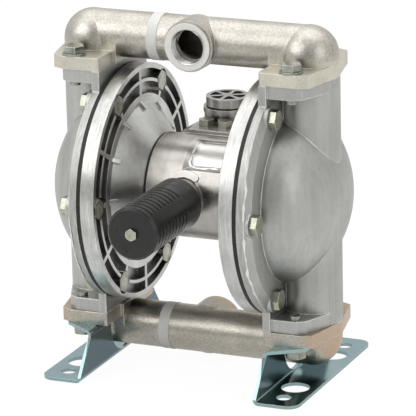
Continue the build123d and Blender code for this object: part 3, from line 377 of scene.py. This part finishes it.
def dielectric(name, light, dark, rough, grain, grain_scale, soft_edge=0.0004, cloud=40.0, wear_and_highlight=None):
    """Plastic, rubber or tape with a mottled colour and a moulded or woven grain."""
    material, tree, shader = tree_of(name)
    where = place(tree)
    clouds = noise(tree, where, cloud, 5.0, 0.6)
    colour = blend(tree, spread(tree, clouds, 0, 1), dark, light)
    # Painted highlight: the edges are lightened towards the given colour
    if wear_and_highlight:
        colour = blend(tree, edges(tree, wear_and_highlight[0], 0.8), colour, wear_and_highlight[1])
    tree.links.new(colour, shader.inputs["Base Color"])
    tree.links.new(spread(tree, noise(tree, where, cloud * 3, 4.0), rough[0], rough[1]),
                   shader.inputs["Roughness"])
    bumps(tree, shader, [(noise(tree, where, grain_scale, 2.0), grain)], soft_edge)
    return material


RUBBER = dielectric("black rubber", (0.018, 0.018, 0.018), (0.008, 0.008, 0.008), (0.45, 0.62),
                    grain=0.00002, grain_scale=900)
PLASTIC = dielectric("black moulded plastic", (0.014, 0.014, 0.013), (0.006, 0.006, 0.006),
                     (0.24, 0.40), grain=0.00004, grain_scale=900, soft_edge=0.0006,
                     wear_and_highlight=(0.0005, (0.10, 0.10, 0.095)))
TAPE = dielectric("white tape", (0.80, 0.80, 0.77), (0.68, 0.68, 0.65), (0.35, 0.55),
                  grain=0.00008, grain_scale=220, soft_edge=0.0)
FIBRE = dielectric("white felt", (0.62, 0.60, 0.55), (0.42, 0.40, 0.36), (0.85, 0.95),
                   grain=0.00030, grain_scale=1400)

finish = {
    STAINLESS: ["discharge_manifold"],
    SHADED_STAINLESS: ["suction_manifold"],
    CHAMBER: ["right_out_chamber", "left_out_chamber"],
    ALUMINIUM: ["right_air_chamber", "left_air_chamber", "right_inner_disc", "left_inner_disc",
                "right_outer_disc", "left_outer_disc", "valve_sleeve", "valve_spool"],
    BODY: ["centre_body", "upper_valve_cap", "lower_valve_cap"],
    BLUE_ZINC: ["right_foot_bracket", "left_foot_bracket"],
    YELLOW_ZINC: ["body_screws", "chamber_bolts", "muffler_bolt", "right_disc_nut", "left_disc_nut"],
    BOLT_ZINC: ["discharge_bolts", "discharge_washers", "suction_bolts", "suction_washers"],
    DULL_ZINC: ["body_plugs", "chamber_nuts"],
    STEEL: ["shaft", "pilot_rod", "right_discharge_seat", "left_discharge_seat",
            "right_suction_seat", "left_suction_seat"],
    BRONZE: ["right_shaft_bush", "left_shaft_bush", "pilot_sleeves"],
    RUBBER: ["right_body_gasket", "left_body_gasket", "right_diaphragm", "left_diaphragm",
             "right_shaft_seal", "left_shaft_seal", "right_discharge_ball", "left_discharge_ball",
             "right_suction_ball", "left_suction_ball", "upper_cap_seal", "lower_cap_seal",
             "seat_rings"],
    PLASTIC: ["muffler_body", "muffler_end_cap"],
    TAPE: ["upper_tape_band", "lower_tape_band"],
    FIBRE: ["muffler_element"],
}
for material, names in finish.items():
    for name in names:
        mesh = nodes[name].data
        mesh.materials.clear()
        mesh.materials.append(material)


# Pieces that only the looks need


def piece(name, bm, material):
    """A smooth-shaded mesh piece that rides on the pump's body."""
    mesh = bpy.data.meshes.new(name)
    bm.to_mesh(mesh)
    bm.free()
    mesh.materials.append(material)
    mesh.polygons.foreach_set("use_smooth", [True] * len(mesh.polygons))
    made = bpy.data.objects.new(name, mesh)
    bpy.context.scene.collection.objects.link(made)
    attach(made, "pump_body")
    return made


FLASH_STEPS, PANEL_STEPS = 120, 16
# How far a bead or thread is sunk into its wall, and a distance from the shaft that is outside the body
SEAM_SINK, THREAD_SINK = 0.0001, 0.00005
OUTSIDE_BODY = 0.060


def skin(bm, rows):
    """Joins closed rows of points into a solid with two end faces."""
    size = len(rows[0])
    for a, b in zip(rows, rows[1:]):
        for k in range(size):
            bm.faces.new((a[k], a[(k + 1) % size], b[(k + 1) % size], b[k]))
    bm.faces.new(rows[0])
    bm.faces.new(rows[-1])
    bmesh.ops.recalc_face_normals(bm, faces=bm.faces)


def seam(name, spots, size):
    """A low, uneven bead of casting flash along spots, each a place and the way out of the metal."""
    width, height = size
    section = [(-1.0, 0.0), (-0.6, 0.8), (0.0, 1.0), (0.6, 0.8), (1.0, 0.0)]
    last = len(spots) - 1
    bm = bmesh.new()
    rows = []
    for i, (spot, out) in enumerate(spots):
        along = spots[min(i + 1, last)][0] - spots[max(i - 1, 0)][0]
        side = along.cross(out).normalized()
        ends = max(0.1, min(1.0, i / 10, (last - i) / 10))
        half = width / 2 * ends * max(0.25, 0.75 + 1.1 * lattice.noise(spot * 170))
        middle = spot + side * (width * 0.5 * lattice.noise(spot * 90))
        rows.append([bm.verts.new(middle + side * (half * across)
                                  + out * (height * ends * rise - SEAM_SINK))
                     for across, rise in section])
    skin(bm, rows)
    piece(name, bm, SCRAPED)


def thread(name, size, origin, axis, material, inside=True):
    """A helical thread on a round wall: it starts at origin and runs along axis."""
    radius, depth, pitch, length = size
    per_turn = 48
    steps = int(length / pitch * per_turn)
    along = Vector(axis).normalized()
    side = along.orthogonal().normalized()
    up = along.cross(side)
    sign = -1 if inside else 1
    profile = [(-0.46, 0.0), (-0.08, 1.0), (0.08, 1.0), (0.46, 0.0)]
    bm = bmesh.new()
    rows = []
    for i in range(steps + 1):
        angle = 2 * math.pi * i / per_turn
        run = pitch * i / per_turn
        fade = max(0.06, min(1.0, i / (per_turn * 0.4), (steps - i) / (per_turn * 0.4)))
        row = []
        for shift, rise in profile:
            place_at = run + shift * pitch + pitch * 0.5
            out = radius + sign * (rise * depth * fade) - sign * THREAD_SINK
            direction = side * math.cos(angle) + up * math.sin(angle)
            row.append(bm.verts.new(Vector(origin) + along * place_at + direction * out))
        rows.append(row)
    skin(bm, rows)
    piece(name, bm, material)


port_inset = PORT_FACE - PIPE_THREAD_INSET
thread("outlet_thread", PIPE_THREAD, (0, -port_inset, OUTLET_Z), (0, -1, 0), THREADED)
thread("inlet_thread", PIPE_THREAD, (0, port_inset, INLET_Z), (0, 1, 0), THREADED)
thread("air_inlet_thread", AIR_THREAD, (0, AIR_INLET_Y, SHAFT_Z), (0, 1, 0), BODY)
for side_name, x in (("right", BOLT_X), ("left", -BOLT_X)):
    for end_name, y in (("front", -BOLT_Y), ("back", BOLT_Y)):
        thread(f"{side_name}_{end_name}_discharge_bolt_thread", BOLT_THREAD, (x, y, BOLT_TOP),
               (0, 0, -1), DULL_ZINC, inside=False)
        thread(f"{side_name}_{end_name}_suction_bolt_thread", BOLT_THREAD, (x, y, BOLT_LOW),
               (0, 0, 1), DULL_ZINC, inside=False)

# Casting flash: on the outer corners of both round flanges, and along the body's sunk panel, where the
# bright bead is also a painted highlight on the panel's edge
for side_name, sign, first, end in FLASH_RUNS:
    spots = []
    for i in range(FLASH_STEPS + 1):
        angle = math.radians(first + (end - first) * i / FLASH_STEPS)
        outwards = Vector((0, -math.cos(angle), math.sin(angle)))
        corner = Vector((sign * FLANGE_CORNER_X, 0, SHAFT_Z)) + outwards * FLANGE_RADIUS
        spots.append((corner, outwards * 0.8 + Vector((sign * 0.6, 0, 0))))
    seam(f"{side_name}_flange_flash", spots, FLANGE_FLASH)

barrel = BVHTree.FromPolygons([v.co for v in nodes["centre_body"].data.vertices],
                              [f.vertices for f in nodes["centre_body"].data.polygons])
spots = []
for (x0, a0), (x1, a1) in zip(PANEL_EDGE, PANEL_EDGE[1:]):
    for i in range(PANEL_STEPS):
        angle = math.radians(a0 + (a1 - a0) * i / PANEL_STEPS)
        outwards = Vector((0, -math.cos(angle), math.sin(angle)))
        start = (Vector((x0 + (x1 - x0) * i / PANEL_STEPS, 0, SHAFT_Z))
                 + outwards * OUTSIDE_BODY)
        spots.append((barrel.ray_cast(start, -outwards)[0], outwards))
# The bright bead on the panel's edge is raised flash and also a painted highlight
seam("panel_flash_and_highlight", spots, PANEL_FLASH)


# The foot brackets: the solids have a step in the web's sloping ends at half height, and the real
# sheet runs straight from the foot plate to the bolting flange

STEP_REACH = (STEP_INNER_Y - 0.003, STEP_OUTER_Y - 0.001)
WELD = 0.000005
SHARP = math.radians(25)
for side_name in ("right", "left"):
    bm = bmesh.new()
    source = nodes[f"{side_name}_foot_bracket"].data
    corners = [bm.verts.new(v.co) for v in source.vertices]
    for corner in corners:
        level_with_step = abs(corner.co.z - STEP_Z) < 0.0001
        if level_with_step and STEP_REACH[0] < abs(corner.co.y) < STEP_REACH[1]:
            corner.co.y = math.copysign(STEP_OUTER_Y, corner.co.y)
    for face in source.polygons:
        bm.faces.new([corners[i] for i in face.vertices])
    bmesh.ops.remove_doubles(bm, verts=bm.verts, dist=WELD)
    bmesh.ops.dissolve_degenerate(bm, edges=bm.edges, dist=WELD)
    bmesh.ops.recalc_face_normals(bm, faces=bm.faces)
    for edge in bm.edges:
        edge.smooth = len(edge.link_faces) == 2 and edge.calc_face_angle() < SHARP
    made = piece(f"{side_name}_bent_bracket", bm, BLUE_ZINC)
    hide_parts(f"{side_name}_foot_bracket")


# The diaphragms: each clamped edge stays, the middle moves with the discs, and the convolution flexes

for side_name, x in (("right", DIAPHRAGM_X), ("left", -DIAPHRAGM_X)):
    rubber = nodes[f"{side_name}_diaphragm"].data.copy()
    made = bpy.data.objects.new(f"{side_name}_flexing_diaphragm", rubber)
    bpy.context.scene.collection.objects.link(made)
    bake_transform(made, "pump_body", "shaft_group", start=(x, -FLEX_OUTER, SHAFT_Z),
             end=(x, -FLEX_INNER, SHAFT_Z))
    # The same fade runs from the edge to the middle all the way round the shaft
    fade = []
    for vertex in rubber.vertices:
        radius = math.hypot(vertex.co.y, vertex.co.z - SHAFT_Z)
        t = min(1.0, max(0.0, (FLEX_OUTER - radius) / (FLEX_OUTER - FLEX_INNER)))
        fade.append(t * t * (3 - 2 * t))
    rubber.attributes["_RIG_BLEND"].data.foreach_set("value", fade)
    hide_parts(f"{side_name}_diaphragm")


# Floor, light and camera

FLOOR_HALF = 6
FLOOR_GLOW = 1.06
FLOOR_SEEN, FLOOR_REFLECTED = 0.90, 0.50
WORLD_STRENGTH = 0.75
BACKDROP = (1.34, 1.34, 1.34)
PUMP_MIDDLE, PUMP_TOP = (0, 0, 0.17), (0, 0, 0.2)


def area(name, size, power, where, target):
    """A soft lamp that looks at a point."""
    lamp = bpy.data.lights.new(name, "AREA")
    lamp.shape = "RECTANGLE"
    lamp.size, lamp.size_y = size
    lamp.energy = power
    made = bpy.data.objects.new(name, lamp)
    made.location = where
    made.rotation_euler = (Vector(where) - Vector(target)).to_track_quat("Z", "Y").to_euler()
    bpy.context.scene.collection.objects.link(made)


floor_mesh = bpy.data.meshes.new("floor")
floor_mesh.from_pydata([(-FLOOR_HALF, -FLOOR_HALF, 0), (FLOOR_HALF, -FLOOR_HALF, 0),
                        (FLOOR_HALF, FLOOR_HALF, 0), (-FLOOR_HALF, FLOOR_HALF, 0)],
                       [], [(0, 1, 2, 3)])
floor = bpy.data.objects.new("floor", floor_mesh)
bpy.context.scene.collection.objects.link(floor)
pale, floor_tree, floor_shader = tree_of("pale floor")
floor_shader.inputs["Base Color"].default_value = (0.66, 0.66, 0.65, 1)
floor_shader.inputs["Roughness"].default_value = 0.9
floor_shader.inputs["Specular IOR Level"].default_value = 0.1
# What the camera sees of the floor is white, with a part of the real shadow, and metal shows it too
glow = add(floor_tree, "ShaderNodeEmission", Strength=FLOOR_GLOW)
sight = add(floor_tree, "ShaderNodeLightPath")
direct = maths(floor_tree, "MAXIMUM", sight.outputs["Is Camera Ray"],
               sight.outputs["Is Transmission Ray"])
share = maths(floor_tree, "MAXIMUM", maths(floor_tree, "MULTIPLY", direct, FLOOR_SEEN),
              maths(floor_tree, "MULTIPLY", sight.outputs["Is Glossy Ray"], FLOOR_REFLECTED))
mixed = add(floor_tree, "ShaderNodeMixShader")
floor_tree.links.new(share, mixed.inputs[0])
floor_tree.links.new(floor_shader.outputs[0], mixed.inputs[1])
floor_tree.links.new(glow.outputs[0], mixed.inputs[2])
floor_tree.links.new(mixed.outputs[0], floor_tree.nodes["Material Output"].inputs["Surface"])
floor_mesh.materials.append(pale)

world = bpy.data.worlds.new("studio")
bpy.context.scene.world = world
world.use_nodes = True
sky = world.node_tree
background = sky.nodes["Background"]
background.inputs["Strength"].default_value = WORLD_STRENGTH
path = add(sky, "ShaderNodeLightPath")
coords = add(sky, "ShaderNodeTexCoord")
split = add(sky, "ShaderNodeSeparateXYZ")
sky.links.new(coords.outputs["Generated"], split.inputs[0])
rise = spread(sky, split.outputs["Z"], 0.0, 1.0, -0.1, 0.6)
shade = blend(sky, rise, (0.80, 0.79, 0.77), (1.15, 1.15, 1.15))
# The room is darker on the camera's side
facing = add(sky, "ShaderNodeVectorMath", operation="DOT_PRODUCT")
facing.inputs[1].default_value = (0.30, -0.95, -0.05)
sky.links.new(coords.outputs["Generated"], facing.inputs[0])
towards_camera = spread(sky, facing.outputs["Value"], 0.0, 0.66, -0.1, 0.9)
shade = blend(sky, towards_camera, shade, (0.02, 0.02, 0.02))
seen = blend(sky, path.outputs["Is Camera Ray"], shade, BACKDROP)
sky.links.new(seen, background.inputs["Color"])

area("key", (2.2, 1.8), 22, (-1.1, -1.6, 1.6), PUMP_MIDDLE)
area("top", (2.4, 2.0), 16, (0.0, 0.3, 2.1), PUMP_TOP)
area("right", (1.4, 1.6), 9, (2.0, -0.9, 1.0), PUMP_MIDDLE)

# The camera, from the photograph's perspective
IMAGE_PIXELS, SENSOR_WIDTH = 416, 36.0
AZIMUTH, ELEVATION, ROLL = (math.radians(a) for a in (23.59, 16.87, -1.36))
TARGET = Vector((0.00786, -0.00931, 0.15101))
DISTANCE = 3.1678
FOCAL_PIXELS = 3495.3
back = Vector((math.sin(AZIMUTH) * math.cos(ELEVATION), -math.cos(AZIMUTH) * math.cos(ELEVATION),
               math.sin(ELEVATION)))
level = Vector((math.cos(AZIMUTH), math.sin(AZIMUTH), 0))
upright = level.cross(-back)
right = level * math.cos(ROLL) + upright * math.sin(ROLL)
up = upright * math.cos(ROLL) - level * math.sin(ROLL)
turn = Matrix((right, up, back)).transposed().to_4x4()
lens = bpy.data.cameras.new("camera")
lens.sensor_width = SENSOR_WIDTH
lens.lens = FOCAL_PIXELS / IMAGE_PIXELS * SENSOR_WIDTH
lens.clip_end = 50.0
camera = bpy.data.objects.new("camera", lens)
camera.matrix_world = Matrix.Translation(TARGET + back * DISTANCE) @ turn
bpy.context.scene.collection.objects.link(camera)
bpy.context.scene.camera = camera

bpy.context.scene.view_settings.view_transform = "Standard"
